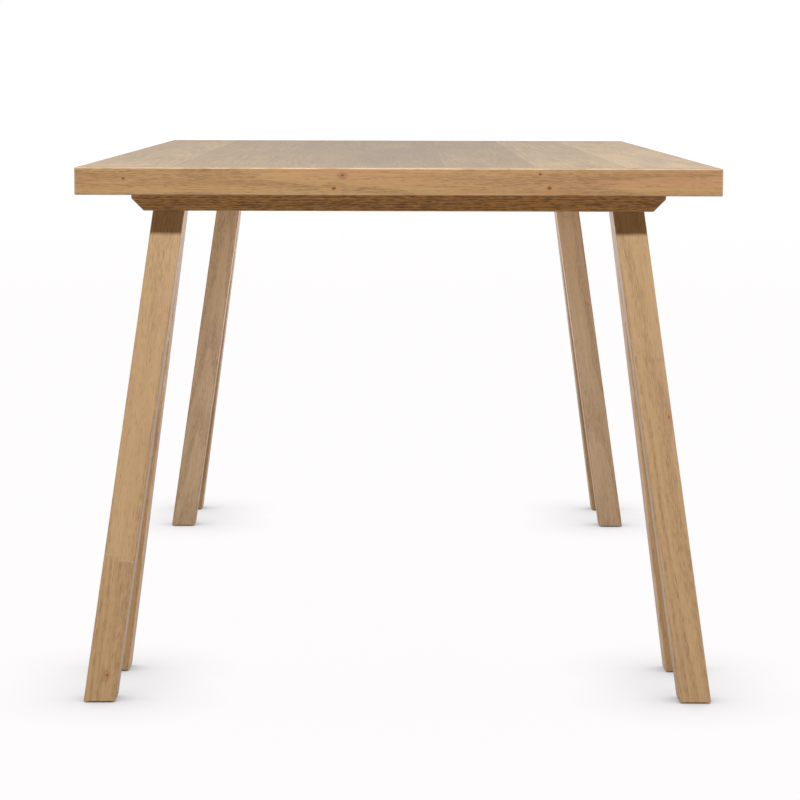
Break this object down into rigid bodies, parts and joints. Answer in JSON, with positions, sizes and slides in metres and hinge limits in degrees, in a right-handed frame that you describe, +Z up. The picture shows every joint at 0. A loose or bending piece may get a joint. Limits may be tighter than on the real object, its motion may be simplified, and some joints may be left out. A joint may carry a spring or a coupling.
{
  "type": "communion table",
  "caption": "Rectangular oak table on splayed legs, each leg an inverted V of square boards tenoned into a bevelled cross bearer bolted under the top.",
  "frame": {"origin": "on the floor under the middle of the table", "axes": "+X across the table, +Y along its length (the picture shows the end that faces -Y), +Z up"},
  "size_m": [0.9, 1.6668, 0.75],
  "materials": {
    "oak_top": "clear matt oil",
    "oak_frame": "clear matt oil",
    "beech_dowel": "bare",
    "zinc_steel": "zinc plated",
    "felt_pad": "felt"
  },
  "bodies": {
    "root": {"top_stave_1": "oak_top", "top_stave_2": "oak_top", "top_stave_3": "oak_top", "top_stave_4": "oak_top", "top_stave_5": "oak_top", "top_stave_6": "oak_top", "top_stave_7": "oak_top", "top_end_board_front": "oak_top", "top_end_board_rear": "oak_top", "bearer_front": "oak_frame", "bearer_rear": "oak_frame", "leg_front_left_outer": "oak_frame", "leg_front_left_inner": "oak_frame", "leg_front_right_outer": "oak_frame", "leg_front_right_inner": "oak_frame", "leg_rear_left_outer": "oak_frame", "leg_rear_left_inner": "oak_frame", "leg_rear_right_outer": "oak_frame", "leg_rear_right_inner": "oak_frame", "leg_dowel_front_left": "beech_dowel", "leg_dowel_front_right": "beech_dowel", "leg_dowel_rear_left": "beech_dowel", "leg_dowel_rear_right": "beech_dowel", "bearer_bolt_front_left_outer": "zinc_steel", "bearer_bolt_front_left_inner": "zinc_steel", "bearer_bolt_front_right_outer": "zinc_steel", "bearer_bolt_front_right_inner": "zinc_steel", "bearer_bolt_rear_left_outer": "zinc_steel", "bearer_bolt_rear_left_inner": "zinc_steel", "bearer_bolt_rear_right_outer": "zinc_steel", "bearer_bolt_rear_right_inner": "zinc_steel", "bearer_washer_front_left_outer": "zinc_steel", "bearer_washer_front_left_inner": "zinc_steel", "bearer_washer_front_right_outer": "zinc_steel", "bearer_washer_front_right_inner": "zinc_steel", "bearer_washer_rear_left_outer": "zinc_steel", "bearer_washer_rear_left_inner": "zinc_steel", "bearer_washer_rear_right_outer": "zinc_steel", "bearer_washer_rear_right_inner": "zinc_steel", "top_insert_front_left_outer": "zinc_steel", "top_insert_front_left_inner": "zinc_steel", "top_insert_front_right_outer": "zinc_steel", "top_insert_front_right_inner": "zinc_steel", "top_insert_rear_left_outer": "zinc_steel", "top_insert_rear_left_inner": "zinc_steel", "top_insert_rear_right_outer": "zinc_steel", "top_insert_rear_right_inner": "zinc_steel", "foot_pad_front_left_outer": "felt_pad", "foot_pad_front_left_inner": "felt_pad", "foot_pad_front_right_outer": "felt_pad", "foot_pad_front_right_inner": "felt_pad", "foot_pad_rear_left_outer": "felt_pad", "foot_pad_rear_left_inner": "felt_pad", "foot_pad_rear_right_outer": "felt_pad", "foot_pad_rear_right_inner": "felt_pad"}
  },
  "joints": []
}
